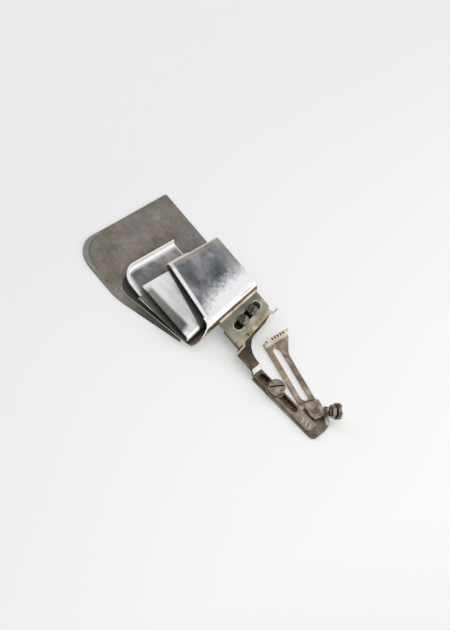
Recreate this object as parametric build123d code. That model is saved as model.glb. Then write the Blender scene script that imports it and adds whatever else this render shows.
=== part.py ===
"""Hemmer folder with a swing-away slotted bracket, for the bed of an industrial sewing machine.

Millimetres, +Z up. The origin is the middle of the foot plate's bed slot, on the bed surface.
Cloth feeds along +Y. The folder lies to the left, at -X, and the swing pivot to the right.
"""
from build123d import *
from math import cos, radians, sin, sqrt, tan
import os

# Sheet and plate thicknesses
base_sheet = 0.8
scroll_sheet = 0.6
lug_sheet = 1.6
shim_sheet = 0.6
bracket_sheet = 1.6
washer_sheet = 0.5

# Fits
running_clearance = 0.05
slide_clearance = 0.25
stop_clearance = 0.1

# Middle of the lug's slot, seen from the bed slot
head_x = -36.0
head_y = -1.8

# Base plate under the folder
base_exit = 0.8
base_left = -34.8
base_front = -66.4
base_front_bend = 0.0
base_front_right = -53.4
base_right_front = 36.0
base_right_exit = 29.0
base_corner_radius = 14.0
base_bend_radius = 30.0
base_exit_corner_radius = 1.2
base_height = 1.5
base_rim_radius = 1.35

# Outer scroll: levels are spaces between sheets, widths are across the feed
entry_gap = 1.8
middle_gap = 2.5
top_gap = 2.3
scroll_width_exit = 35.4
scroll_taper_deg = 8.8
scroll_mouth_y = -34.4
mouth_slant_deg = -8.0
mouth_rake = 12.0
bottom_leg_left = -7.0
bottom_leg_left_back = 1.5
bottom_leg_left_bend = -45.0
bottom_leg_front = -63.4
bottom_leg_front_slope_deg = 13.6
bottom_leg_corner_radius = 8.0
inner_leg_stop = 3.0

# Inner tongue, soldered under the scroll's inner leg
tongue_left = -9.7
tongue_back = -19.2
tongue_front = -58.4
tongue_front_slope_deg = 8.5
tongue_corner_radius = 10.0
tongue_side_gap = 3.6
tongue_top_left = 3.6
tongue_top_front = -53.7
tongue_top_slant_deg = 1.0
tongue_top_rake = 2.5
lip_radius = 2.4
lip_front_length = 7.0

# Mounting lug, shim and the head of the arm
head_tilt_deg = 14.0
lug_slot_from_scroll = 9.0
lug_slot_y = -15.8
lug_front = -32.2
lug_back = -1.2
lug_right_from_slot = 5.4
folder_travel = 5.0
lug_corner_radius = 1.2
lug_top_below_scroll = 2.9
solder_leg = 1.1
lug_screw_spacing = 8.6
lug_screw_radius = 2.0
lug_screw_head_radius = 3.1
lug_screw_head_height = 1.4
lug_screw_turn_deg = 104.0
screw_slot_width = 0.8
screw_slot_depth = 0.9
screw_head_round = 0.4
screw_tip_chamfer = 0.4
shim_right_from_slot = 7.7
wing_front = -24.0
wing_back = 17.2
wing_gap = 0.8
wing_width = 0.8
wing_root = 2.5
head_left_from_slot = 3.6
head_right_from_slot = 9.0
head_front = -15.2
head_back = 13.5
head_taper = 8.0
rivet_radius = 0.8
rivet_from_slot_right = 6.5
rivet_along = -8.0

# Slotted arm on the swing plate
arm_angle_deg = 5.5
arm_slot_x = 5.4
arm_pad_clearance = 0.4
arm_width = 6.2
arm_slot_length = 26.4
arm_right_end = 24.6
arm_step_from_slot = -15.0
arm_step_length = 2.0
neck_left_side = 2.3
neck_left_outer = -27.6
neck_left_inner = -32.0
neck_fillet = 13.4
plate_corner_radius = 1.0
mark_count = 3
mark_pitch = 2.4
mark_width = 0.45
mark_depth = 0.2
mark_length = 4.2
mark_first = 18.4
mark_shift = -0.7
mark_turn_deg = 23.0

# Clamp screw through the arm's slot
clamp_along = -2.2
clamp_radius = 1.9
clamp_head_radius = 4.3
clamp_head_height = 3.4
clamp_turn_deg = 61.0
clamp_washer_radius = 4.9

# Swing plate
swing_left = -14.6
swing_right = 29.2
swing_outer_side = 3.5
swing_inner_side = 3.1
swing_pad_radius = 4.2
swing_corner_radius = 3.0
swing_end_straight = 6.0
stop_flange_right_side = 4.8
stop_flange_left_side = 2.5
stop_flange_sheet = 1.2
stop_flange_height = 5.0
stop_tab_width = 4.0

# Foot plate on the bed
foot_angle_deg = -12.0
foot_slot_length = 32.4
foot_slot_width = 5.0
foot_width = 10.0
foot_left_margin = 4.4
foot_flange_length = 15.4
foot_flange_sheet = 1.4
foot_flange_height = 4.6
foot_flare_from_slot_end = 5.2
foot_flare_radius = 7.0
foot_step_gap = 0.5
foot_step_length = 1.8
foot_end_margin = 4.4
pad_trim = 1.0
pad_corner_radius = 1.5
notch_count = 5
notch_pitch = 2.0
notch_width = 0.9
notch_depth = 0.8
pivot_from_slot_end = 6.8

# Swing pivot
pivot_radius = 2.0
pivot_head_radius = 2.6
pivot_head_height = 0.3
pivot_head_round = 0.2
pivot_dimple_radius = 0.9
pivot_dimple_depth = 0.6
pivot_flush_radius = 3.0
pivot_flush_height = 0.8
pivot_washer_radius = 4.0

# Stop screw, through the swing plate's flange, and the foot plate's ear that it meets
stop_angle_deg = 62.0
stop_offset = 2.9
stop_height = 6.2
stop_radius = 1.5
stop_head_radius = 4.2
stop_head_length = 2.6
stop_head_gap = 0.6
stop_turn_deg = 90.0
stop_nut_thickness = 2.0
stop_nut_across = 6.0
ear_from_pivot = 3.9
ear_width = 3.6
ear_shift = 0.9
ear_flange_gap = 0.3

# Levels worked out from the sheets and spaces
base_top = base_height
bottom_leg_top = base_top + scroll_sheet
tongue_floor = bottom_leg_top + entry_gap
tongue_plate_top = tongue_floor + scroll_sheet
inner_leg_top = tongue_plate_top + scroll_sheet
tongue_top_floor = tongue_plate_top + middle_gap
tongue_top = tongue_top_floor + scroll_sheet
scroll_top = tongue_top + top_gap + scroll_sheet
lug_top = scroll_top - lug_top_below_scroll
lug_floor = lug_top - lug_sheet
shim_floor = lug_floor - shim_sheet
head_floor = shim_floor - bracket_sheet
arm_floor = bracket_sheet
arm_top = arm_floor + bracket_sheet
pad_floor = bracket_sheet + washer_sheet
pad_top = pad_floor + bracket_sheet

# Shared places: the folder hangs on the lug's slot, and the arm passes the foot plate's swung pad
lug_slot_x = scroll_width_exit + lug_slot_from_scroll
folder_place = Location((head_x - lug_slot_x, head_y - lug_slot_y, 0))
head_place = Location((head_x, head_y, 0), (0, 0, head_tilt_deg))
foot_place = Location((0, 0, 0), (0, 0, foot_angle_deg))
foot_left = -foot_slot_length / 2 - foot_left_margin
pivot_from_slot = foot_slot_length / 2 + pivot_from_slot_end
pivot_x = pivot_from_slot * cos(radians(foot_angle_deg))
pivot_y = pivot_from_slot * sin(radians(foot_angle_deg))
pivot_place = Location((pivot_x, pivot_y, 0))
pad_low_side = foot_width / 2 - pad_trim
pad_sweep = pad_corner_radius + sqrt(
    (foot_end_margin - pad_corner_radius) ** 2 + (pad_low_side - pad_corner_radius) ** 2)
arm_turn = radians(arm_angle_deg)
arm_below_pivot = pad_sweep + arm_pad_clearance + arm_width / 2
arm_slot_y = pivot_y - (arm_below_pivot + (pivot_x - arm_slot_x) * sin(arm_turn)) / cos(arm_turn)
arm_place = Location((arm_slot_x, arm_slot_y, 0), (0, 0, arm_angle_deg))
stop_place = pivot_place * Location((0, 0, 0), (0, 0, stop_angle_deg))
ear_face = ear_from_pivot + bracket_sheet
flange_face = ear_face + ear_flange_gap + stop_flange_sheet
far = 200.0


def prism(points, floor, height, radii=None):
    """Upright prism over a plan outline, each corner rounded by its own radius."""
    outline = make_face(Polyline(*points, close=True))
    for corner, radius in zip(points, radii or []):
        if radius:
            vertex = outline.vertices().sort_by_distance((corner[0], corner[1], 0))[0]
            outline = fillet(vertex, radius)
    return Pos(0, 0, floor) * extrude(outline, height)


def slot_prism(length, width, floor, height):
    """Upright prism of a round-ended slot along X."""
    return Pos(0, 0, floor) * extrude(SlotOverall(length, width), height)


def post(radius, floor, height):
    """Upright round post."""
    return Pos(0, 0, floor + height / 2) * Cylinder(radius, height)


def slotted_screw(head_radius, head_height, radius, length, turn_deg):
    """Cheese-head screw standing on its head's underside at Z 0."""
    head = post(head_radius, 0, head_height)
    head = fillet(head.edges().group_by(Axis.Z)[-1], screw_head_round)
    cut = Pos(0, 0, head_height) * Box(2 * head_radius, screw_slot_width, 2 * screw_slot_depth)
    shank = post(radius, -length, length)
    tip = chamfer(shank.edges().group_by(Axis.Z)[0], screw_tip_chamfer)
    return (head - Rot(0, 0, turn_deg) * cut) + tip


def sheet_face(y, x_start, levels, turns, x_end):
    """Section of one bent sheet across the feed: flat legs at the given levels, joined by half turns.

    Each turn is the X of a half circle's centre. The legs run right, left, right and so on.
    """
    half = scroll_sheet / 2
    sides = ([], [])
    ends = [(x_start, levels[0] + half), (x_start, levels[0] - half)]
    start_cap = Line(ends[1], ends[0])
    for index, (turn, low, high) in enumerate(zip(turns, levels, levels[1:])):
        outward = 1 if index % 2 == 0 else -1
        middle = (low + high) / 2
        for side, sign in ((0, 1), (1, -1)):
            radius = abs(high - low) / 2 - sign * half
            rise = radius if high > low else -radius
            first = (turn, middle - rise)
            last = (turn, middle + rise)
            sides[side].append(Line(ends[side], first))
            sides[side].append(ThreePointArc(first, (turn + outward * radius, middle), last))
            ends[side] = last
    for side in (0, 1):
        last = (x_end, ends[side][1])
        sides[side].append(Line(ends[side], last))
        ends[side] = last
    wire = Wire([start_cap, *sides[0], Line(ends[0], ends[1]), *sides[1]])
    return Location((0, y, 0), (90, 0, 0)) * make_face(wire)


def front_cut(x, y, top, floor, rake, slant_deg):
    """Everything in front of a raked edge that crosses the folder at a slant."""
    points = [(y, top), (y - rake, floor), (y - far, floor), (y - far, top + far), (y, top + far)]
    profile = Plane.YZ * make_face(Polyline(*points, close=True))
    block = extrude(profile, far, both=True)
    return Location((x, y, 0), (0, 0, slant_deg)) * Pos(0, -y, 0) * block


def scroll_width(y):
    """Right edge of the scroll's big turn at a given Y."""
    return scroll_width_exit - y * tan(radians(scroll_taper_deg))


scroll_middle = (base_top + scroll_top) / 2
scroll_radius = (scroll_top - base_top) / 2
tongue_radius = (tongue_top - tongue_floor) / 2
back_turn_radius = (scroll_top - tongue_plate_top) / 2


def scroll_turn(y):
    """Centre of the scroll's big turn."""
    return scroll_width(y) - scroll_radius


def tongue_turn(y):
    """Centre of the tongue's turn, inside the scroll's."""
    return scroll_width(y) - scroll_sheet - tongue_side_gap - tongue_radius


def lofted(section, front, back):
    """Straight loft of a section that changes along the feed."""
    return loft([section(front), section(back)], ruled=True)


def scroll_section(y):
    """Scroll's sheet across the feed at a given Y."""
    half = scroll_sheet / 2
    levels = [base_top + half, scroll_top - half, inner_leg_top - half]
    return sheet_face(y, bottom_leg_left, levels, [scroll_turn(y), back_turn_radius],
                      tongue_turn(y) - inner_leg_stop)


def tongue_section(y):
    """Tongue's sheet across the feed at a given Y, without its lip."""
    half = scroll_sheet / 2
    levels = [tongue_floor + half, tongue_top - half]
    return sheet_face(y, lip_left, levels, [tongue_turn(y)], tongue_top_left)


lip_reach = lip_radius + scroll_sheet / 2
lip_left = tongue_left + lip_reach
lip_front = tongue_front + lip_reach
reach_front = base_front


def outer_scroll():
    """One sheet rolled from the bottom leg over the big turn, and back under itself."""
    sheet = lofted(scroll_section, reach_front, 0)
    sheet -= front_cut(0, scroll_mouth_y, scroll_top, bottom_leg_top, mouth_rake, mouth_slant_deg)
    upright = front_cut(0, scroll_mouth_y, scroll_top, bottom_leg_top, 0, mouth_slant_deg)
    upright &= Pos(tongue_turn(scroll_mouth_y) - far / 2, 0, 0) * Box(far, 2 * far, far)
    sheet -= upright
    rise = far * tan(radians(bottom_leg_front_slope_deg))
    outline = prism(
        [(bottom_leg_left_back, far), (bottom_leg_left_back, tongue_back),
         (bottom_leg_left, bottom_leg_left_bend), (bottom_leg_left, bottom_leg_front),
         (bottom_leg_left + far, bottom_leg_front + rise), (bottom_leg_left + far, far)],
        0, far, [0, 0, 0, bottom_leg_corner_radius, 0, 0])
    return folder_place * (sheet & outline)


def inner_tongue():
    """One sheet: a middle plate with a rolled-up lip, a turn, and a top leg."""
    sheet = lofted(tongue_section, reach_front, tongue_back)
    sheet -= front_cut(tongue_top_left, tongue_top_front, tongue_top, tongue_plate_top,
                       tongue_top_rake, tongue_top_slant_deg)
    lip_end = lip_front_length
    flat_corner = tongue_corner_radius - lip_reach
    rise = far * tan(radians(tongue_front_slope_deg))
    outline = prism(
        [(lip_left, far), (lip_left, lip_front), (lip_end, lip_front), (lip_end, tongue_front),
         (lip_end + far, tongue_front + rise), (lip_end + far, far)],
        0, far, [0, flat_corner, 0, 0, 0, 0])
    sheet = sheet & outline
    half = scroll_sheet / 2
    lip_middle = tongue_floor + half + lip_radius
    ring = Circle(lip_radius + half) - Circle(lip_radius - half)
    quarter = ring & Pos(-far / 2, -far / 2) * Rectangle(far, far)
    side_length = tongue_back - (tongue_front + tongue_corner_radius)
    side = Location((lip_left, tongue_back, lip_middle), (90, 0, 0)) * extrude(quarter, side_length)
    corner_x = tongue_left + tongue_corner_radius
    corner_y = tongue_front + tongue_corner_radius
    turn_profile = Plane.XZ * Pos(-flat_corner, lip_middle) * quarter
    corner = Pos(corner_x, corner_y, 0) * revolve(turn_profile, Axis.Z, 90)
    front_length = lip_end - corner_x
    front_profile = Plane.YZ * Pos(lip_front, lip_middle) * quarter
    front = Pos(corner_x, 0, 0) * extrude(front_profile, front_length)
    return folder_place * (sheet + side + corner + front)


def base_plate():
    """Cloth plate with its left and front rim rolled down to the bed."""
    def pan(inset, height, roll):
        left = base_left + inset
        front = base_front + inset
        back = base_exit + inset
        points = [(left, back), (left, front), (base_front_bend, front),
                  (base_right_front, base_front_right + inset), (base_right_exit, back)]
        radii = [base_exit_corner_radius if not inset else 0, base_corner_radius - inset,
                 base_bend_radius, 0, 0]
        block = prism(points, 0, height, radii)
        rims = block.edges().group_by(Axis.Z)[-1].filter_by(
            lambda edge: edge.center().Y < back - base_exit_corner_radius)
        rims = rims.filter_by(lambda edge: edge.center().X < base_right_exit)
        return fillet(rims, roll)

    plate = pan(0, base_height, base_rim_radius)
    hollow = pan(base_sheet, base_height - base_sheet, base_rim_radius - base_sheet)
    return folder_place * (plate - hollow)


def scroll_envelope():
    """The scroll's outer form, filled, for what is soldered against its big turn."""
    def face(y):
        turn = scroll_turn(y)
        top = (turn, scroll_top)
        foot = (turn, base_top)
        arc = ThreePointArc(foot, (scroll_width(y), scroll_middle), top)
        back = Polyline(top, (0, scroll_top), (0, base_top), foot)
        return Location((0, y, 0), (90, 0, 0)) * make_face(Wire([arc, *back.edges()]))

    return lofted(face, reach_front, -reach_front)


def lug_right(y):
    """Right edge of the lug at a folder Y: it runs along the slot."""
    tilt = radians(head_tilt_deg)
    return lug_slot_x + lug_right_from_slot / cos(tilt) - (y - lug_slot_y) * tan(tilt)


lug_slot_width = 2 * (lug_screw_radius + slide_clearance)
lug_slot_length = lug_screw_spacing + 2 * folder_travel + lug_slot_width


def mounting_lug():
    """Slotted plate soldered to the side of the scroll."""
    points = [(0, lug_front), (lug_right(lug_front), lug_front), (lug_right(lug_back), lug_back),
              (0, lug_back)]
    plate = prism(points, lug_floor, lug_sheet, [0, lug_corner_radius, lug_corner_radius, 0])
    plate = folder_place * (plate - scroll_envelope())
    slot = slot_prism(lug_slot_length, lug_slot_width, lug_floor, lug_sheet)
    return plate - head_place * Rot(0, 0, 90) * slot


def lug_solder():
    """Fillet of solder along the lug's joint with the scroll."""
    def face(y):
        step = lug_top - scroll_middle
        surface = scroll_turn(y) + sqrt(scroll_radius ** 2 - step ** 2)
        edge = surface + solder_leg
        inside = surface - solder_leg
        points = [(edge, lug_top), (inside, lug_top), (inside, lug_top + solder_leg)]
        return Location((0, y, 0), (90, 0, 0)) * make_face(Polyline(*points, close=True))

    return folder_place * (lofted(face, lug_front, lug_back) - scroll_envelope())


def at_lug_screws(piece):
    """The piece, once at each screw of the lug's slot."""
    return [head_place * Pos(0, side * lug_screw_spacing / 2, 0) * piece for side in (-1, 1)]


def lug_screws():
    """Two cheese-head screws through the lug's slot into the arm's head."""
    length = lug_sheet + shim_sheet + bracket_sheet
    screw = slotted_screw(
        lug_screw_head_radius, lug_screw_head_height, lug_screw_radius, length, lug_screw_turn_deg)
    return Compound(at_lug_screws(Pos(0, 0, lug_top) * screw))


def screw_holes(floor, height):
    """Clearance holes of the lug's screws."""
    return at_lug_screws(post(lug_screw_radius + running_clearance, floor, height))


rivet_place = head_place * Pos(rivet_from_slot_right, rivet_along, 0)


def rivet_hole(floor, height):
    """Clearance hole of the shim's rivet."""
    return rivet_place * post(rivet_radius + running_clearance, floor, height)


def head_edge(x):
    """Front edge of the arm's head and the shim at a slot X: it runs along the lug's front edge."""
    return head_front - (x + head_left_from_slot) * tan(radians(head_tilt_deg))


def slide_shim():
    """Thin plate between the lug and the arm's head, with a narrow wing at each end."""
    left = -head_left_from_slot
    right = shim_right_from_slot
    inner = right + wing_gap
    outer = inner + wing_width
    points = [(left, head_front), (right, head_edge(right)), (right, head_front),
              (inner, head_front - wing_gap), (inner, wing_front), (outer, wing_front), (outer, head_front),
              (right, head_front + wing_root), (right, head_back - wing_root), (outer, head_back),
              (outer, wing_back), (inner, wing_back), (inner, head_back + wing_gap), (right, head_back),
              (left, head_back)]
    plate = head_place * prism(points, shim_floor, shim_sheet)
    return plate - screw_holes(shim_floor, shim_sheet) - rivet_hole(shim_floor, shim_sheet)


def shim_rivet():
    """Small flush rivet that holds the shim on the arm's head."""
    return rivet_place * post(rivet_radius, head_floor, bracket_sheet + shim_sheet)


def crossing(place_a, x, place_b, y):
    """Plan point with local X in one place's axes and local Y in another's."""
    turn_a = radians(place_a.orientation.Z)
    turn_b = radians(place_b.orientation.Z)
    far_a = x + place_a.position.X * cos(turn_a) + place_a.position.Y * sin(turn_a)
    far_b = y - place_b.position.X * sin(turn_b) + place_b.position.Y * cos(turn_b)
    spread = cos(turn_a) * cos(turn_b) + sin(turn_a) * sin(turn_b)
    return ((far_a * cos(turn_b) - far_b * sin(turn_a)) / spread,
            (far_a * sin(turn_b) + far_b * cos(turn_a)) / spread)


arm_slot_width = 2 * (clamp_radius + slide_clearance)


def slotted_arm():
    """Plate arm: a head under the lug, a neck, a step down and a slotted bar."""
    step_end = arm_step_from_slot
    step_start = step_end - arm_step_length
    left = -head_left_from_slot
    right = head_right_from_slot
    head_points = [(left, head_front), (right, head_edge(right)), (right, head_back - head_taper),
                   (shim_right_from_slot, head_back), (left, head_back)]
    half = arm_width / 2
    neck_points = [(neck_left_outer, -neck_left_side), (step_start, -half), (step_start, half),
                   (neck_left_inner, half)]
    outline = head_place * make_face(Polyline(*head_points, close=True))
    outline += arm_place * make_face(Polyline(*neck_points, close=True))
    corner = crossing(head_place, right, arm_place, half)
    vertex = outline.vertices().sort_by_distance((corner[0], corner[1], 0))[0]
    outline = fillet(vertex, neck_fillet)
    upper = Pos(0, 0, head_floor) * extrude(outline, bracket_sheet)
    ramp_points = [(step_start, head_floor), (step_end, arm_floor), (step_end, arm_top),
                   (step_start, head_floor + bracket_sheet)]
    ramp = extrude(Plane.XZ * make_face(Polyline(*ramp_points, close=True)), half, both=True)
    bar_points = [(step_end, -half), (arm_right_end, -half), (arm_right_end, half), (step_end, half)]
    bar = prism(bar_points, arm_floor, bracket_sheet, [0, plate_corner_radius, plate_corner_radius, 0])
    bar -= slot_prism(arm_slot_length, arm_slot_width, arm_floor, bracket_sheet)
    for index in range(mark_count):
        mark = Rot(0, 0, mark_turn_deg) * Box(mark_width, mark_length, 2 * mark_depth)
        bar -= Pos(mark_first + index * mark_pitch, mark_shift, arm_top) * mark
    arm = upper + arm_place * (ramp + bar)
    return arm - screw_holes(head_floor, bracket_sheet) - rivet_hole(head_floor, bracket_sheet)


clamp_place = arm_place * Pos(clamp_along, 0, 0)


def clamp_screw():
    """Cheese-head screw that clamps the arm on the swing plate."""
    length = washer_sheet + 2 * bracket_sheet - running_clearance
    screw = slotted_screw(clamp_head_radius, clamp_head_height, clamp_radius, length, clamp_turn_deg)
    return clamp_place * Pos(0, 0, arm_top + washer_sheet) * screw


def clamp_washer():
    """Plain washer under the clamp screw's head."""
    ring = post(clamp_washer_radius, arm_top, washer_sheet)
    return clamp_place * (ring - post(clamp_radius + running_clearance, arm_top, washer_sheet))


def stop_barrel(radius, start, length):
    """Round bar along the stop screw's line, outward from the pivot."""
    return Location((start + length / 2, -stop_offset, stop_height), (0, 90, 0)) * Cylinder(radius, length)


def round_tab(start, thickness, floor, width, shift):
    """Upright tab with a round top, across the stop screw's line."""
    middle = shift - stop_offset
    points = [(start, middle - width / 2), (start + thickness, middle - width / 2),
              (start + thickness, middle + width / 2), (start, middle + width / 2)]
    top = Pos(0, shift, 0) * stop_barrel(width / 2, start, thickness)
    return prism(points, floor, stop_height - floor) + top


def swing_plate():
    """Plate that turns on the pivot and carries the arm, with an upturned stop flange."""
    lower = -swing_outer_side
    bar_points = [(swing_left, lower), (swing_right, lower), (swing_right, swing_inner_side),
                  (swing_left, swing_inner_side)]
    corners = [plate_corner_radius, swing_corner_radius, 0, plate_corner_radius]
    bar = prism(bar_points, 0, bracket_sheet, corners)
    pivot = (arm_place.inverse() * pivot_place).position
    web_left = pivot.X - swing_pad_radius
    right = -stop_offset - stop_flange_right_side
    left = -stop_offset + stop_flange_left_side
    end = (arm_place.inverse() * stop_place * Pos(flange_face, right, 0)).position
    web_points = [(web_left, 0), (swing_right, 0), (swing_right, swing_end_straight), (end.X, end.Y),
                  (web_left, pivot.Y)]
    web = prism(web_points, 0, bracket_sheet)
    plate = arm_place * (bar + web) + pivot_place * post(swing_pad_radius, 0, bracket_sheet)
    inner = flange_face - stop_flange_sheet
    tail = prism([(0, right), (flange_face, right), (flange_face, left), (0, left)], 0, bracket_sheet)
    flange_points = [(inner, right), (flange_face, right), (flange_face, left), (inner, left)]
    flange = prism(flange_points, 0, stop_flange_height)
    flange += round_tab(inner, stop_flange_sheet, 0, stop_tab_width, 0)
    flange -= stop_barrel(stop_radius + running_clearance, inner, stop_flange_sheet)
    plate += stop_place * (tail + flange)
    plate -= pivot_place * post(pivot_radius + running_clearance, 0, bracket_sheet)
    flush_depth = pivot_flush_height + running_clearance
    plate -= pivot_place * post(pivot_flush_radius + running_clearance, 0, flush_depth)
    return plate - clamp_place * post(clamp_radius + running_clearance, 0, bracket_sheet)


def pivot_rivet():
    """Swing pivot: a flush head under the swing plate, and a low head on the foot plate."""
    shank = post(pivot_radius, 0, pad_top)
    flush = post(pivot_flush_radius, running_clearance, pivot_flush_height - running_clearance)
    head = post(pivot_head_radius, pad_top, pivot_head_height)
    head = fillet(head.edges().group_by(Axis.Z)[-1], pivot_head_round)
    foot = post(pivot_radius, 0, running_clearance)
    dimple = post(pivot_dimple_radius, pad_top + pivot_head_height - pivot_dimple_depth, pivot_dimple_depth)
    return pivot_place * (shank - foot + flush + head - dimple)


def pivot_washer():
    """Thin washer between the swing plate and the foot plate's pad."""
    ring = post(pivot_washer_radius, bracket_sheet, washer_sheet)
    return pivot_place * (ring - post(pivot_radius + running_clearance, bracket_sheet, washer_sheet))


def foot_plate():
    """Slotted foot on the bed, with an upturned end, a stepped pad and an ear for the stop screw."""
    half = foot_width / 2
    turn = radians(foot_angle_deg)

    def foot_point(along, across):
        return (along * cos(turn) - across * sin(turn), along * sin(turn) + across * cos(turn))

    low = foot_point((foot_left + (-half) * sin(turn)) / cos(turn), -half)
    flare_top = low[1] + foot_flange_length
    step_start = foot_slot_length / 2 + foot_step_gap
    step_end = step_start + foot_step_length
    pad_end = pivot_from_slot + foot_end_margin
    inner = foot_left + foot_flange_sheet
    flare_end = foot_flare_from_slot_end - foot_slot_length / 2
    points = [low, foot_point(step_start, -half), foot_point(step_start, half), foot_point(flare_end, half),
              (inner + foot_flange_sheet, flare_top), (foot_left, flare_top)]
    plate = prism(points, 0, bracket_sheet, [0, 0, 0, foot_flare_radius, plate_corner_radius, 0])
    flange = prism([low, (inner, low[1]), (inner, flare_top), (foot_left, flare_top)], 0, foot_flange_height)
    middle = (low[1] + flare_top) / 2
    for index in range(notch_count):
        place = middle + (index - (notch_count - 1) / 2) * notch_pitch
        notch = Box(2 * foot_flange_sheet, notch_width, 2 * notch_depth)
        flange -= Pos(inner - foot_flange_sheet / 2, place, foot_flange_height) * notch
    ramp_points = [(step_start, 0), (step_end, pad_floor), (step_end, pad_top), (step_start, bracket_sheet)]
    ramp = extrude(Plane.XZ * make_face(Polyline(*ramp_points, close=True)), half, both=True)
    pad_points = [(step_end, -pad_low_side), (pad_end, -pad_low_side), (pad_end, half), (step_end, half)]
    pad = prism(pad_points, pad_floor, bracket_sheet, [0, pad_corner_radius, plate_corner_radius, 0])
    right = ear_shift - stop_offset - ear_width / 2
    left = right + ear_width
    web = prism([(0, right), (ear_face, right), (ear_face, left), (0, left)], pad_floor, bracket_sheet)
    ear = round_tab(ear_from_pivot, bracket_sheet, pad_floor, ear_width, ear_shift)
    past_ear = Pos(ear_face + far / 2, 0, 0) * Box(far, far, far)
    plate = plate + flange + foot_place * (ramp + pad) + stop_place * (web + ear) - stop_place * past_ear
    plate -= foot_place * slot_prism(foot_slot_length, foot_slot_width, 0, bracket_sheet)
    return plate - pivot_place * post(pivot_radius + running_clearance, pad_floor, bracket_sheet)


def stop_screw():
    """Cheese-head stop screw through the swing plate's flange: its tip meets the foot plate's ear."""
    head_start = flange_face + stop_nut_thickness + stop_head_gap
    length = head_start - ear_face - stop_clearance
    screw = slotted_screw(stop_head_radius, stop_head_length, stop_radius, length, stop_turn_deg)
    return stop_place * Location((head_start, -stop_offset, stop_height), (0, 90, 0)) * screw


def stop_nut():
    """Hexagon lock nut of the stop screw, against the flange."""
    hexagon = extrude(RegularPolygon(stop_nut_across / 2, 6, major_radius=False), stop_nut_thickness)
    hexagon -= post(stop_radius + running_clearance, 0, stop_nut_thickness)
    return stop_place * Location((flange_face, -stop_offset, stop_height), (0, 90, 0)) * hexagon


makers = [base_plate, outer_scroll, inner_tongue, mounting_lug, lug_solder, lug_screws, slide_shim,
          shim_rivet, slotted_arm, clamp_screw, clamp_washer, swing_plate, pivot_rivet, pivot_washer,
          foot_plate, stop_screw, stop_nut]

os.makedirs("parts", exist_ok=True)
for maker in makers:
    export_step(maker(), f"parts/{maker.__name__}.step")
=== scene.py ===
"""Looks of the hemmer folder: materials, floor, light and camera.

Metres in the part's own frame. Paint zones are given in millimetres, in the own axes of the folder, the
head, the arm or the foot.
"""
import math

import bpy
from mathutils import Matrix, Vector

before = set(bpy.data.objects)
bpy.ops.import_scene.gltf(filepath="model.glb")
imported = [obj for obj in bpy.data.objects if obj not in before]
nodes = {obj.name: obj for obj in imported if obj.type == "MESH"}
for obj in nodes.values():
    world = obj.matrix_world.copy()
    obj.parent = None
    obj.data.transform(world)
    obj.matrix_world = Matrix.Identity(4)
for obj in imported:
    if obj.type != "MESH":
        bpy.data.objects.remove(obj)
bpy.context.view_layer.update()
scene = bpy.context.scene
scene.view_settings.view_transform = "Standard"

# Places of the pieces' own axes in the part's frame: middle in metres, turns in degrees
folder_axes = (-0.0804, 0.0140, 0.0), (0, 0, 0)
head_axes = (-0.0360, -0.0018, 0.0), (0, 0, 14)
arm_axes = (0.0054, -0.0153, 0.0), (0, 0, 5.5)
foot_axes = (0.0, 0.0, 0.0), (0, 0, 0)
foot_rails = (0.0, 0.0, 0.0), (0, 0, -12)
# The same for the screw slots: middle of each slot's floor, X along the slot, Z out of the head
clamp_slot = (0.00321, -0.01551, 0.0062), (0, 0, 66.5)
lug_slots = [((-0.03704, 0.00237, 0.0081), (0, 0, 118)), ((-0.03496, -0.00597, 0.0081), (0, 0, 118))]
stop_slot = (0.03036, 0.00383, 0.0062), (90, 0, 152)

# Sizes and places that the paint follows, in millimetres; a slant is a rise over a run
base_left = -34.8
corner_paint_middle = -19.4, -51.0
corner_paint_radius = 13.4
scroll_turn_exit = 30.9
scroll_taper = math.tan(math.radians(8.8))
mouth_y = -34.4
mouth_slant = math.tan(math.radians(8))
bottom_leg_top = 2.1
tongue_plate_top = 4.5
tongue_leg_floor = 7.0
tongue_back = -19.2
lip_slant = 0.15
leg_front = -53.6
leg_slant = 0.10
leg_strip_slant = 0.19
lug_slot_half = (2.25, 11.55)
folder_travel = 5.0
arm_slot_half = (13.2, 2.15)
arm_top = 3.2
left_end_x = -18.0
screw_slot_half = 0.4
screw_slot_depth = 0.9

# Radius over which sharp edges catch the light, in metres
edge_softness = 0.0003

# Room and camera: lengths in metres, glow and room as plain strengths, the picture's size in pixels
floor_size = 6.0
floor_drop = 0.0001
floor_glow = 0.40
room_strength = 0.5
light_target = -0.03, -0.01, 0.0
photo_width, photo_height = 450, 630
sensor_mm, lens_mm = 36, 250


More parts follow.
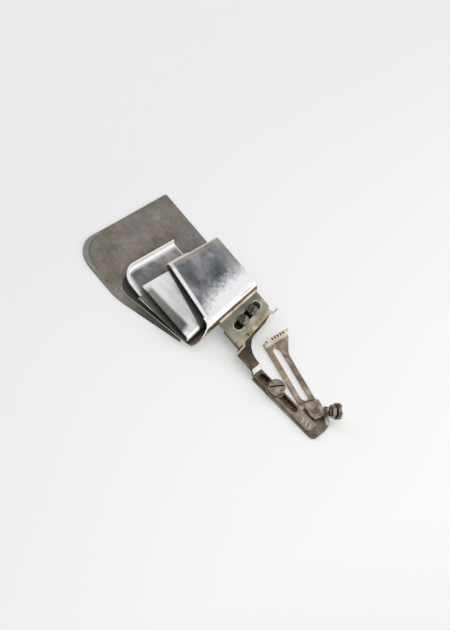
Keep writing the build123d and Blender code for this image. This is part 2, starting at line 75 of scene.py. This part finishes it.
class Graph:
    """Small helper that builds a node tree and wires it as it goes."""

    def __init__(self, tree):
        self.tree = tree
        tree.nodes.clear()

    def add(self, kind, inputs=None, **settings):
        node = self.tree.nodes.new(kind)
        for name, value in settings.items():
            setattr(node, name, value)
        for name, value in (inputs or {}).items():
            if isinstance(value, bpy.types.NodeSocket):
                self.tree.links.new(value, node.inputs[name])
            else:
                node.inputs[name].default_value = value
        return node

    def noise(self, place, scale, detail=4.0, roughness=0.55, stretch=(1, 1, 1), turn=0.0):
        mapping = self.add("ShaderNodeMapping", {
            "Vector": place, "Scale": stretch, "Rotation": (0, 0, turn)})
        texture = self.add("ShaderNodeTexNoise", {
            "Vector": mapping.outputs["Vector"], "Scale": scale, "Detail": detail, "Roughness": roughness})
        return texture.outputs["Fac"]

    def ramp(self, value, stops):
        node = self.add("ShaderNodeValToRGB", {"Fac": value})
        elements = node.color_ramp.elements
        while len(elements) < len(stops):
            elements.new(0.5)
        for element, (position, colour) in zip(elements, stops):
            element.position = position
            element.color = (*colour, 1.0)
        return node.outputs["Color"]

    def span(self, value, low, high, to_low=0.0, to_high=1.0, smooth=False):
        """Value mapped from one range to another, held at both ends."""
        node = self.add("ShaderNodeMapRange", {
            "Value": value, "From Min": low, "From Max": high, "To Min": to_low, "To Max": to_high})
        if smooth:
            node.interpolation_type = "SMOOTHSTEP"
        return node.outputs["Result"]

    def mix(self, amount, first, second, blend="MIX"):
        node = self.add("ShaderNodeMix", {0: amount}, data_type="RGBA", blend_type=blend)
        for index, colour in ((6, first), (7, second)):
            if isinstance(colour, tuple):
                node.inputs[index].default_value = (*colour, 1.0)
            else:
                self.tree.links.new(colour, node.inputs[index])
        return node.outputs[2]

    def math(self, operation, first, second):
        return self.add("ShaderNodeMath", {0: first, 1: second}, operation=operation).outputs["Value"]

    def total(self, *values):
        result = values[0]
        for value in values[1:]:
            result = self.math("ADD", result, value)
        return result

    def length(self, first, second):
        """Length of the vector with the two parts."""
        squares = [self.math("MULTIPLY", part, part) for part in (first, second)]
        return self.math("SQRT", self.total(*squares), 0.0)

    def weighted(self, value, weight):
        return self.math("MULTIPLY", value, weight)

    def axes(self, vector):
        parts = self.add("ShaderNodeSeparateXYZ", {"Vector": vector}).outputs
        return parts["X"], parts["Y"], parts["Z"]

    def inside(self, value, low, high, soft=0.2):
        """One between two limits, zero outside, with a soft change at each."""
        rise = self.span(value, low - soft, low + soft)
        fall = self.span(value, high + soft, high - soft)
        return self.math("MULTIPLY", rise, fall)

    def local(self, place, axes):
        """Millimetre coordinates in a piece's own axes."""
        middle, turns_deg = axes
        mapping = self.add("ShaderNodeMapping", {
            "Vector": place, "Location": middle, "Rotation": [math.radians(turn) for turn in turns_deg],
            "Scale": (0.001, 0.001, 0.001)}, vector_type="TEXTURE")
        return self.axes(mapping.outputs["Vector"])


class Metal(Graph):
    """Material under work: coordinates, clouds and fine grain that each metal's recipe starts from."""

    def __init__(self, name, cloud):
        self.material = bpy.data.materials.new(name)
        self.material.use_nodes = True
        super().__init__(self.material.node_tree)
        coordinates = self.add("ShaderNodeTexCoord").outputs
        self.place = coordinates["Object"]
        self.lean_x, _, self.rise = self.axes(coordinates["Normal"])
        self.clouds = self.noise(self.place, cloud, 5.0, 0.6)
        self.grain = self.noise(self.place, 1100.0, 3.0, 0.6)

    def streaks(self, turn_deg, scale=260.0, stretch=(0.3, 7.0, 7.0)):
        return self.noise(self.place, scale, 4.0, 0.6, stretch, math.radians(turn_deg))

    def scratched(self, colour, turn_deg, amount):
        """Colour with fine lengthwise lines, lighter and darker."""
        tone = self.span(self.streaks(turn_deg), 0.3, 0.7, 1.0 - amount, 1.0 + amount)
        return self.mix(1.0, colour, tone, "MULTIPLY")

    def finish(self, colour, roughness, metallic, height=None, depth=0.00005):
        """Closes the recipe; roughness is a range that the clouds move in."""
        gloss = self.span(self.clouds, 0.3, 0.7, *roughness)
        shader = self.add("ShaderNodeBsdfPrincipled", {
            "Base Color": colour, "Roughness": gloss, "Metallic": metallic})
        if height is None:
            height = self.grain
        soft_edge = self.add("ShaderNodeBevel", {"Radius": edge_softness}, samples=4)
        relief = self.add("ShaderNodeBump", {
            "Height": height, "Strength": 1.0, "Distance": depth, "Normal": soft_edge.outputs["Normal"]})
        self.tree.links.new(relief.outputs["Normal"], shader.inputs["Normal"])
        self.add("ShaderNodeOutputMaterial", {"Surface": shader.outputs["BSDF"]})
        return self.material


def base_steel():
    """Dull, hand-worn steel: brown with grey, green and blue clouds, scratches and a grey rolled rim."""
    metal = Metal("base_steel", 95.0)
    x, y, _ = metal.local(metal.place, folder_axes)
    mottle = metal.noise(metal.place, 95.0, 9.0, 0.7, (1.0, 0.6, 1.0), 0.6)
    colour = metal.ramp(mottle, [
        (0.28, (0.110, 0.088, 0.066)), (0.45, (0.205, 0.175, 0.140)), (0.60, (0.260, 0.232, 0.195)),
        (0.75, (0.360, 0.340, 0.305))])
    blue = metal.span(metal.noise(metal.place, 45.0, 4.0, 0.6, turn=1.0), 0.50, 0.66)
    colour = metal.mix(metal.weighted(blue, 0.65), colour, (0.190, 0.205, 0.225))
    green = metal.span(metal.noise(metal.place, 60.0, 4.0, 0.6, turn=2.2), 0.52, 0.68)
    colour = metal.mix(metal.weighted(green, 0.6), colour, (0.165, 0.165, 0.120))
    colour = metal.scratched(colour, 35, 0.11)
    colour = metal.scratched(colour, -40, 0.11)
    specks = metal.span(metal.noise(metal.place, 420.0, 5.0, 0.7), 0.35, 0.65, 0.86, 1.14)
    colour = metal.mix(1.0, colour, specks, "MULTIPLY")
    rim = metal.span(metal.rise, 0.98, 0.75)
    colour = metal.mix(metal.weighted(rim, 0.7), colour, (0.30, 0.295, 0.27))
    roll_line = metal.inside(metal.rise, 0.93, 0.99, 0.008)
    colour = metal.mix(metal.weighted(roll_line, 0.55), colour, (0.10, 0.095, 0.080))
    middle_x, middle_y = corner_paint_middle
    from_corner = metal.length(metal.math("SUBTRACT", x, middle_x), metal.math("SUBTRACT", y, middle_y))
    corner = metal.math("MULTIPLY", metal.span(x, -14.5, -19.5), metal.span(y, -46.0, -51.0))
    outside = metal.span(from_corner, corner_paint_radius, corner_paint_radius + 0.4)
    band = metal.math("MULTIPLY", corner, outside)
    colour = metal.mix(metal.weighted(band, 0.65), colour, (0.27, 0.275, 0.255))
    line = metal.inside(from_corner, corner_paint_radius - 0.7, corner_paint_radius, 0.35)
    line = metal.math("MULTIPLY", corner, line)
    colour = metal.mix(metal.weighted(line, 0.6), colour, (0.075, 0.072, 0.058))
    # Painted highlight along the left edge of the base.
    left_edge_highlight = metal.span(x, base_left + 1.0, base_left + 0.4)
    left_edge_highlight = metal.math("MULTIPLY", left_edge_highlight, metal.span(y, -50.0, -42.0))
    colour = metal.mix(metal.weighted(left_edge_highlight, 0.7), colour, (0.56, 0.51, 0.45))
    # Painted shade on the base in front of the tongue, deepest towards +X and towards the front.
    front = metal.math("MULTIPLY", metal.span(x, 2.0, 16.0), metal.span(y, -51.0, -55.0))
    colour = metal.mix(metal.weighted(front, 0.88), colour, (0.055, 0.052, 0.042))
    return metal.finish(colour, (0.42, 0.60), 0.45)


def polished_scroll():
    """Polished sheet, painted reflections: cloudy blue-grey top, white at the mouth and big turn, streaked
    brown side.
    """
    metal = Metal("polished_scroll", 75.0)
    x, y, z = metal.local(metal.place, folder_axes)
    from_turn = metal.math("SUBTRACT", scroll_turn_exit, metal.total(x, metal.weighted(y, scroll_taper)))
    from_mouth = metal.math("SUBTRACT", metal.total(y, metal.weighted(x, mouth_slant)), mouth_y)
    # The clouded blue-grey colour is a painted cloudy reflection.
    colour = metal.ramp(metal.clouds, [
        (0.32, (0.19, 0.20, 0.22)), (0.48, (0.33, 0.34, 0.36)), (0.60, (0.50, 0.50, 0.51)),
        (0.74, (0.78, 0.78, 0.78))])
    shade = metal.math("MULTIPLY", metal.inside(x, 5.0, 22.0, 5.0), metal.inside(from_mouth, 5.5, 10.5, 4.0))
    colour = metal.mix(metal.weighted(shade, 0.94), colour, (0.06, 0.06, 0.06))
    # Painted highlight: a white band with a ragged edge along the big turn, narrower near the mouth, and a
    # white line along the mouth's edge.
    ragged = metal.weighted(metal.math("SUBTRACT", metal.noise(metal.place, 500.0, 5.0, 0.7), 0.5), 14.0)
    narrowing = metal.span(from_mouth, 0.0, 15.0, 5.0, 0.0)
    band = metal.span(metal.total(from_turn, ragged, narrowing), 13.5, 5.5)
    edge = metal.math("MULTIPLY", metal.span(from_mouth, 2.6, 1.4), metal.span(z, 7.5, 8.3))
    pale = metal.math("MAXIMUM", band, edge)
    colour = metal.mix(pale, colour, (0.96, 0.96, 0.96))
    # Painted reflection: a light band on the top just past the left turn.
    strip = metal.math("MULTIPLY", metal.inside(x, 2.6, 4.8, 0.5), metal.span(z, 8.0, 8.4))
    colour = metal.mix(metal.weighted(strip, 0.6), colour, (0.62, 0.58, 0.53))
    worn = metal.math("MULTIPLY", metal.span(y, -9.0, -3.0), metal.span(x, 22.0, 8.0))
    colour = metal.mix(metal.weighted(worn, 0.5), colour, (0.80, 0.74, 0.68))
    # Painted reflection on the side faces: streaks from dark brown to pale.
    lines = metal.noise(metal.place, 300.0, 2.0, 0.5, (0.1, 0.1, 4.0))
    side_reflection = metal.ramp(lines, [
        (0.38, (0.09, 0.055, 0.04)), (0.50, (0.36, 0.27, 0.21)), (0.62, (0.82, 0.76, 0.71))])
    side = metal.span(metal.lean_x, 0.15, 0.5)
    colour = metal.mix(side, colour, side_reflection)
    turn_low = metal.math("MULTIPLY", metal.span(from_turn, 3.0, 1.0), metal.span(from_mouth, 3.0, 0.0))
    turn_low = metal.math("MULTIPLY", turn_low, metal.span(z, 7.5, 5.5))
    colour = metal.mix(turn_low, colour, (0.24, 0.175, 0.13))
    # Painted pinkish reflection on the left turn.
    left = metal.math("MULTIPLY", metal.span(x, 3.0, 1.8), metal.span(z, 4.0, 4.5))
    colour = metal.mix(metal.weighted(left, 0.9), colour, (0.84, 0.73, 0.61))
    low = metal.span(z, bottom_leg_top + 0.5, bottom_leg_top + 0.1)
    colour = metal.mix(metal.weighted(low, 0.97), colour, (0.075, 0.069, 0.056))
    low_edge = metal.math("MULTIPLY", low, metal.span(metal.rise, 0.7, 0.3))
    colour = metal.mix(metal.weighted(low_edge, 0.95), colour, (0.92, 0.89, 0.83))
    top_highlight = metal.math("MULTIPLY", pale, metal.span(side, 0.0, 1.0, 1.0, 0.0))
    dull = metal.math("MAXIMUM", top_highlight, metal.math("MAXIMUM", low, left))
    shine = metal.span(dull, 0.0, 1.0, 1.0, 0.2)
    waves = metal.weighted(metal.noise(metal.place, 90.0, 2.0), 0.3)
    height = metal.total(waves, metal.weighted(metal.grain, 0.010))
    return metal.finish(colour, (0.20, 0.36), shine, height, 0.001)


def polished_tongue():
    """Bright sheet: painted shade on the plate, painted highlight on the rolled lip, silver top leg with a
    brown strip.
    """
    metal = Metal("polished_tongue", 110.0)
    x, y, z = metal.local(metal.place, folder_axes)
    plate = metal.ramp(metal.clouds, [
        (0.32, (0.20, 0.195, 0.18)), (0.50, (0.40, 0.39, 0.37)), (0.68, (0.66, 0.65, 0.63))])
    # Painted shade on the plate from about x = 0 mm on, beside and under the top leg, deeper towards +X.
    plate_shade = metal.span(metal.math("ADD", x, metal.weighted(metal.clouds, 6.0)), -3.0, 6.0, 0.0, 0.9, True)
    plate_shade_tone = metal.mix(metal.span(x, 8.0, 25.0), (0.20, 0.205, 0.195), (0.085, 0.083, 0.078))
    plate = metal.mix(plate_shade, plate, plate_shade_tone)
    front = metal.total(y, metal.weighted(x, lip_slant))
    # Painted highlight: white on the plate at its left end and along its front next to the lip.
    front_lip = metal.math("MULTIPLY", metal.span(front, -53.0, -55.5), metal.span(x, 7.0, 4.0))
    near_lip = metal.math("MAXIMUM", metal.span(x, -5.4, -7.2), front_lip)
    plate = metal.mix(metal.weighted(near_lip, 0.9), plate, (0.95, 0.95, 0.94))
    # Top leg: silver, with painted reflection: white streaks, whiter towards its left end, a grey-green cast
    # between x 18 and 31 mm.
    sheen = metal.noise(metal.place, 110.0, 3.0, 0.5, (0.35, 1.6, 1.0))
    leg = metal.ramp(sheen, [
        (0.32, (0.42, 0.39, 0.34)), (0.46, (0.76, 0.75, 0.72)), (0.56, (0.97, 0.97, 0.96)),
        (0.72, (0.80, 0.80, 0.79))])
    from_front = metal.total(y, metal.weighted(x, leg_slant), -leg_front)
    leg = metal.mix(metal.span(x, 15.0, 6.0, 0.0, 0.8), leg, (0.99, 0.99, 0.98))
    leg = metal.mix(metal.inside(x, 18.0, 31.0, 5.0), leg, metal.mix(0.4, leg, (0.50, 0.52, 0.50)))
    strip = metal.span(metal.total(from_front, metal.weighted(x, -leg_strip_slant)), 3.3, 1.6)
    strip_end = metal.span(metal.total(x, metal.weighted(from_front, 0.4)), 37.5, 35.0)
    strip = metal.math("MULTIPLY", strip, metal.math("MULTIPLY", metal.span(x, 5.0, 8.0), strip_end))
    strip_tone = metal.mix(metal.span(x, 10.0, 30.0), (0.27, 0.250, 0.215), (0.095, 0.090, 0.080))
    leg = metal.mix(metal.weighted(strip, 0.92), leg, strip_tone)
    into_mouth = metal.math("SUBTRACT", metal.total(y, metal.weighted(x, mouth_slant + leg_slant)), mouth_y)
    shaded = metal.span(into_mouth, -0.6, 0.2)
    leg = metal.mix(metal.weighted(shaded, 0.95), leg, (0.045, 0.043, 0.038))
    lip_zone = metal.math("MAXIMUM", metal.span(x, 2.5, 1.0), metal.span(front, -54.2, -55.0))
    raised = metal.span(z, tongue_plate_top + 0.6, tongue_leg_floor - 0.6)
    upper = metal.math("MULTIPLY", raised, metal.span(lip_zone, 1.0, 0.0))
    rolled = metal.math("MAXIMUM", metal.span(metal.rise, 0.998, 0.97), metal.span(z, 5.0, 5.4))
    rolled = metal.math("MAXIMUM", rolled, metal.span(y, tongue_back - 0.7, tongue_back - 0.4))
    lip = metal.math("MULTIPLY", rolled, lip_zone)
    colour = metal.mix(upper, plate, leg)
    # Painted highlight: the rolled lip in white.
    colour = metal.mix(lip, colour, (0.96, 0.96, 0.95))
    dull = metal.math("MAXIMUM", metal.weighted(upper, 0.6), metal.math("MAXIMUM", near_lip, lip))
    dull = metal.math("MAXIMUM", dull, metal.weighted(plate_shade, 0.6))
    shine = metal.span(dull, 0.0, 1.0, 0.75, 0.15)
    waves = metal.weighted(metal.noise(metal.place, 70.0, 2.0), 0.3)
    return metal.finish(colour, (0.20, 0.34), shine, waves, 0.001)


def plain_metal(name, stops, roughness, metallic, cloud, turn_deg, scratch):
    """Worn metal: clouded colour with lengthwise scratches."""
    metal = Metal(name, cloud)
    colour = metal.scratched(metal.ramp(metal.clouds, stops), turn_deg, scratch)
    return metal.finish(colour, roughness, metallic)


def screw_steel(name, slots, reach, tone, rim=0.0, shadow=0.0, slot_shade_colour=(0.02, 0.014, 0.010)):
    """Screw steel, with painted shade in each screw's slot; reach is half the slot's length, tone the
    lightest cloud.

    Rim is the strength of a painted highlight on the head's outer edge, shadow that of painted shade on one
    side.
    """
    metal = Metal(name, 320.0)
    dark, middle = [tuple(part * share for part in tone) for share in (0.3, 0.6)]
    colour = metal.ramp(metal.clouds, [(0.30, dark), (0.50, middle), (0.72, tone)])
    for axes in slots:
        along, across, out = metal.local(metal.place, axes)
        # Painted shade in the slot.
        slot_shade = metal.math(
            "MULTIPLY", metal.inside(across, -screw_slot_half - 0.05, screw_slot_half + 0.05, 0.03),
            metal.inside(out, -0.1, screw_slot_depth - 0.08, 0.03))
        slot_shade = metal.math("MULTIPLY", slot_shade, metal.inside(along, -reach, reach, 0.1))
        # Painted highlight on the head's outer edge, as strong as rim.
        colour = metal.mix(metal.span(out, -0.2, 0.3, 0.0, rim), colour, (0.95, 0.92, 0.85))
        # Painted shade on one side of the slot, as strong as shadow.
        near = metal.inside(along, -reach, reach, 0.1)
        near = metal.math("MULTIPLY", near, metal.inside(across, 0.4, reach, 0.6))
        colour = metal.mix(metal.weighted(near, shadow), colour, (0.045, 0.050, 0.040))
        colour = metal.mix(slot_shade, colour, slot_shade_colour)
    return metal.finish(colour, (0.26, 0.42), 0.85)


def lug_steel():
    """Mounting lug: grey-olive steel with a painted highlight on the rim at its slot's ends."""
    metal = Metal("lug_steel", 160.0)
    x, y, _ = metal.local(metal.place, head_axes)
    colour = metal.ramp(metal.clouds, [
        (0.30, (0.25, 0.218, 0.160)), (0.52, (0.40, 0.358, 0.275)), (0.72, (0.58, 0.53, 0.425))])
    colour = metal.scratched(colour, -76, 0.12)
    near_scroll = metal.span(x, 1.0, -4.5, 0.0, 0.68)
    colour = metal.mix(near_scroll, colour, (0.12, 0.118, 0.085))
    wall = metal.span(metal.rise, 0.7, 0.4)
    colour = metal.mix(metal.weighted(wall, 0.7), colour, (0.42, 0.39, 0.34))
    # Painted highlight on the rim at the slot's rounded ends.
    half_x, half_y = lug_slot_half
    past_end = metal.math("SUBTRACT", metal.math("ABSOLUTE", y, 0.0), half_y - half_x)
    past_end = metal.math("MAXIMUM", past_end, 0.0)
    slot_rim_highlight = metal.inside(metal.length(x, past_end), half_x - 0.1, half_x + 0.45, 0.1)
    rim = metal.math("MULTIPLY", slot_rim_highlight, metal.span(past_end, 0.0, 0.6))
    colour = metal.mix(metal.weighted(rim, 0.75), colour, (0.92, 0.88, 0.80))
    return metal.finish(colour, (0.34, 0.50), 0.65)


def shim_metal():
    """Shim: tan metal, black with painted shade inside the lug's slot."""
    metal = Metal("tan_shim", 200.0)
    x, y, _ = metal.local(metal.place, head_axes)
    colour = metal.ramp(metal.clouds, [
        (0.32, (0.32, 0.245, 0.160)), (0.52, (0.56, 0.45, 0.31)), (0.70, (0.80, 0.69, 0.52))])
    colour = metal.scratched(colour, -76, 0.12)
    wing = metal.span(x, 8.0, 8.4)
    colour = metal.mix(metal.weighted(wing, 0.6), colour, (0.62, 0.58, 0.50))
    # Painted shade inside the lug's slot, reaching on by the folder's travel so it stays under the slot at
    # every pose.
    half_x, half_y = lug_slot_half
    shade_reach = half_y + folder_travel
    slot = metal.math("MULTIPLY", metal.inside(x, -half_x, half_x), metal.inside(y, -shade_reach, shade_reach))
    colour = metal.mix(slot, colour, (0.03, 0.026, 0.020))
    return metal.finish(colour, (0.32, 0.48), 0.75)


def arm_nickel():
    """Arm: satin nickel, dark on the neck, with painted highlights on the step and in the engraved marks'
    cut.
    """
    metal = Metal("arm_nickel", 140.0)
    u, v, z = metal.local(metal.place, arm_axes)
    colour = metal.ramp(metal.clouds, [
        (0.34, (0.10, 0.074, 0.052)), (0.50, (0.21, 0.165, 0.122)), (0.66, (0.42, 0.350, 0.275))])
    colour = metal.scratched(colour, -5, 0.14)
    neck = metal.span(u, -18.0, -24.0)
    colour = metal.mix(metal.weighted(neck, 0.6), colour, (0.070, 0.048, 0.030))
    end = metal.span(u, 11.0, 19.0)
    colour = metal.mix(metal.weighted(end, 0.45), colour, (0.56, 0.50, 0.42))
    # Painted highlight on faces just under the arm's top from u = 16 mm on: the cuts of the engraved marks
    # and the end edge.
    cut = metal.inside(z, arm_top - 0.3, arm_top - 0.1, 0.04)
    cut = metal.math("MULTIPLY", cut, metal.inside(v, -2.9, 2.0))
    cut = metal.math("MULTIPLY", cut, metal.span(u, 16.0, 16.5))
    colour = metal.mix(cut, colour, (0.90, 0.86, 0.80))
    # Painted highlight on the sloped faces of the step.
    step = metal.inside(metal.rise, 0.3, 0.94, 0.03)
    step = metal.math("MULTIPLY", step, metal.inside(u, -17.1, -14.9, 0.1))
    colour = metal.mix(step, colour, (0.92, 0.90, 0.85))
    return metal.finish(colour, (0.24, 0.42), 0.9)


def swing_nickel():
    """Swing plate: satin nickel, painted shade with rusty specks in the arm's slot, a painted highlight on
    the flange.
    """
    metal = Metal("swing_nickel", 140.0)
    u, v, z = metal.local(metal.place, arm_axes)
    colour = metal.ramp(metal.clouds, [
        (0.34, (0.11, 0.086, 0.064)), (0.50, (0.20, 0.163, 0.127)), (0.66, (0.36, 0.305, 0.245))])
    colour = metal.scratched(colour, -5, 0.12)
    # Painted shade on the swing plate inside the arm's slot, mottled rusty brown.
    half_u, half_v = arm_slot_half
    slot = metal.math("MULTIPLY", metal.inside(u, -half_u, half_u), metal.inside(v, -half_v, half_v))
    specks = metal.noise(metal.place, 900.0, 3.0)
    slot_shade_and_rust = metal.ramp(specks, [(0.4, (0.070, 0.043, 0.024)), (0.65, (0.20, 0.130, 0.075))])
    colour = metal.mix(slot, colour, slot_shade_and_rust)
    # Painted highlight on the bent-up flange.
    side, _, out = metal.local(metal.place, stop_slot)
    bend_highlight = metal.math("MULTIPLY", metal.inside(out, -6.1, -3.0, 0.3), metal.inside(side, -5.2, 3.2, 0.5))
    bend_highlight = metal.math("MULTIPLY", bend_highlight, metal.inside(z, 1.5, 5.1, 0.1))
    colour = metal.mix(metal.weighted(bend_highlight, 0.9), colour, (0.97, 0.95, 0.91))
    shine = metal.span(bend_highlight, 0.0, 1.0, 0.9, 0.1)
    return metal.finish(colour, (0.26, 0.44), shine)


def foot_nickel():
    """Foot plate: satin nickel, its upturned end with a painted cream highlight inside and painted shade in
    its notches.
    """
    metal = Metal("foot_nickel", 130.0)
    x, _, z = metal.local(metal.place, foot_axes)
    colour = metal.ramp(metal.clouds, [
        (0.34, (0.15, 0.113, 0.082)), (0.50, (0.28, 0.223, 0.168)), (0.66, (0.50, 0.425, 0.335))])
    colour = metal.scratched(colour, 12, 0.12)
    u, v, _ = metal.local(metal.place, foot_rails)
    gold = metal.math("MULTIPLY", metal.span(v, -2.0, -3.0), metal.inside(u, -15.0, 2.0, 3.0))
    colour = metal.mix(metal.weighted(gold, 0.5), colour, (0.60, 0.49, 0.31))
    # Painted highlight: cream on faces that look along +X, chiefly the inner face of the upturned end, and
    # fainter on the whole upturned end.
    bend_highlight = metal.span(x, left_end_x + 0.4, left_end_x - 0.4)
    bend_highlight = metal.math("MULTIPLY", bend_highlight, metal.span(z, 1.4, 1.5))
    inner = metal.math("MAXIMUM", metal.span(metal.lean_x, 0.9, 0.98), metal.weighted(bend_highlight, 0.6))
    colour = metal.mix(inner, colour, (0.97, 0.88, 0.71))
    # Painted shade in the notches along the top of the upturned end.
    notch_shade = metal.math("MULTIPLY", metal.inside(z, 3.75, 4.5, 0.03), metal.span(metal.lean_x, 0.5, 0.4))
    left_end = metal.span(x, left_end_x + 0.5, left_end_x)
    colour = metal.mix(metal.math("MULTIPLY", notch_shade, left_end), colour, (0.04, 0.030, 0.022))
    shine = metal.span(inner, 0.0, 1.0, 0.9, 0.0)
    return metal.finish(colour, (0.24, 0.44), shine)


solder = plain_metal(
    "solder", [(0.30, (0.22, 0.185, 0.14)), (0.70, (0.64, 0.57, 0.46))],
    (0.28, 0.50), 0.8, 220.0, 0, 0.05)
washer_steel = plain_metal(
    "washer_steel", [(0.30, (0.14, 0.11, 0.08)), (0.70, (0.40, 0.34, 0.27))],
    (0.26, 0.42), 0.9, 320.0, 30, 0.08)
dark_rivet = plain_metal(
    "dark_rivet", [(0.30, (0.04, 0.030, 0.022)), (0.70, (0.16, 0.125, 0.09))],
    (0.30, 0.46), 0.9, 320.0, 30, 0.08)
rivet_steel = plain_metal(
    "rivet_steel", [(0.34, (0.15, 0.113, 0.082)), (0.66, (0.44, 0.37, 0.29))],
    (0.26, 0.44), 0.9, 320.0, 30, 0.08)
lug_screw_steel = screw_steel(
    "lug_screw_steel", lug_slots, 3.1, (0.50, 0.43, 0.36), shadow=0.85, slot_shade_colour=(0.06, 0.035, 0.028))
clamp_screw_steel = screw_steel("clamp_screw_steel", [clamp_slot], 4.3, (0.58, 0.51, 0.42))
stop_screw_steel = screw_steel("stop_screw_steel", [stop_slot], 4.2, (0.30, 0.25, 0.19), rim=0.85)

finishes = {
    "base_plate": base_steel(),
    "outer_scroll": polished_scroll(),
    "inner_tongue": polished_tongue(),
    "mounting_lug": lug_steel(),
    "lug_solder": solder,
    "lug_screws": lug_screw_steel,
    "slide_shim": shim_metal(),
    "shim_rivet": dark_rivet,
    "slotted_arm": arm_nickel(),
    "clamp_screw": clamp_screw_steel,
    "clamp_washer": washer_steel,
    "swing_plate": swing_nickel(),
    "pivot_rivet": rivet_steel,
    "pivot_washer": washer_steel,
    "foot_plate": foot_nickel(),
    "stop_screw": stop_screw_steel,
    "stop_nut": washer_steel,
}
for name, material in finishes.items():
    mesh = nodes[name].data
    mesh.materials.clear()
    mesh.materials.append(material)


def pale_floor():
    """Wide pale floor that keeps the object's soft shadow."""
    bpy.ops.mesh.primitive_plane_add(size=floor_size, location=(0, 0, -floor_drop))
    floor = bpy.context.object
    floor.name = "floor"
    material = bpy.data.materials.new("pale_floor")
    material.use_nodes = True
    graph = Graph(material.node_tree)
    place = graph.add("ShaderNodeTexCoord").outputs["Object"]
    # Painted light on the floor: its tone is brightest at about x = 0.12 m and darker to both sides.
    across = graph.axes(place)[0]
    drift = graph.weighted(graph.noise(place, 4.0, 1.0), 0.06)
    along = graph.span(graph.math("ADD", across, drift), -0.10, 0.50)
    tone = graph.ramp(along, [
        (0.0, (0.611, 0.611, 0.606)), (0.36, (0.702, 0.702, 0.693)), (1.0, (0.565, 0.565, 0.561))])
    diffuse = graph.add("ShaderNodeBsdfDiffuse", {"Color": tone})
    glow = graph.add("ShaderNodeEmission", {"Color": tone, "Strength": floor_glow})
    both = graph.add("ShaderNodeAddShader", {0: diffuse.outputs["BSDF"], 1: glow.outputs["Emission"]})
    graph.add("ShaderNodeOutputMaterial", {"Surface": both.outputs["Shader"]})
    floor.data.materials.append(material)


def studio_world():
    """Soft grey room with slow, cloudy variation, for the polished sheet to reflect."""
    world = bpy.data.worlds.new("studio")
    scene.world = world
    world.use_nodes = True
    graph = Graph(world.node_tree)
    place = graph.add("ShaderNodeTexCoord").outputs["Generated"]
    clouds = graph.noise(place, 2.6, 3.0)
    colour = graph.ramp(clouds, [(0.35, (0.62, 0.64, 0.68)), (0.65, (0.92, 0.92, 0.92))])
    back = graph.add("ShaderNodeBackground", {"Color": colour, "Strength": room_strength})
    graph.add("ShaderNodeOutputWorld", {"Surface": back.outputs["Background"]})


def softbox(name, direction, distance, size, power):
    """Square area lamp that looks at the object from a direction."""
    lamp = bpy.data.lights.new(name, "AREA")
    lamp.size = size
    lamp.energy = power
    obj = bpy.data.objects.new(name, lamp)
    scene.collection.objects.link(obj)
    towards = Vector(direction).normalized()
    obj.location = Vector(light_target) + towards * distance
    obj.rotation_mode = "QUATERNION"
    obj.rotation_quaternion = towards.to_track_quat("Z", "Y")


def photo_camera(azimuth, elevation, roll, millimetres_per_pixel, origin_pixel):
    """Long-lens camera at the photograph's angle; origin_pixel is where the part's origin shows."""
    a, e, r = (math.radians(angle) for angle in (azimuth, elevation, roll))
    right = Vector((math.cos(a), math.sin(a), 0))
    back = Vector((math.sin(a) * math.cos(e), -math.cos(a) * math.cos(e), math.sin(e)))
    up = back.cross(right)
    across = right * math.cos(r) + up * math.sin(r)
    upward = up * math.cos(r) - right * math.sin(r)
    scale = millimetres_per_pixel / 1000
    target = across * (photo_width / 2 - origin_pixel[0]) * scale
    target += upward * (origin_pixel[1] - photo_height / 2) * scale
    data = bpy.data.cameras.new("camera")
    data.sensor_width = sensor_mm
    data.lens = lens_mm
    distance = photo_height * scale * lens_mm / sensor_mm
    camera = bpy.data.objects.new("camera", data)
    scene.collection.objects.link(camera)
    camera.matrix_world = Matrix((
        (across.x, upward.x, back.x, 0), (across.y, upward.y, back.y, 0), (across.z, upward.z, back.z, 0),
        (0, 0, 0, 1)))
    camera.location = target + back * distance
    scene.camera = camera


pale_floor()
studio_world()
softbox("key", (-0.22, -0.05, 0.97), 0.9, 0.8, 2.9)
softbox("back_right", (0.52, 0.62, 0.60), 0.8, 0.85, 3.4)
softbox("left_fill", (-0.8, -0.35, 0.5), 0.9, 0.5, 1.1)
photo_camera(20, 50, 34, 0.5, (289.86, 375.55))
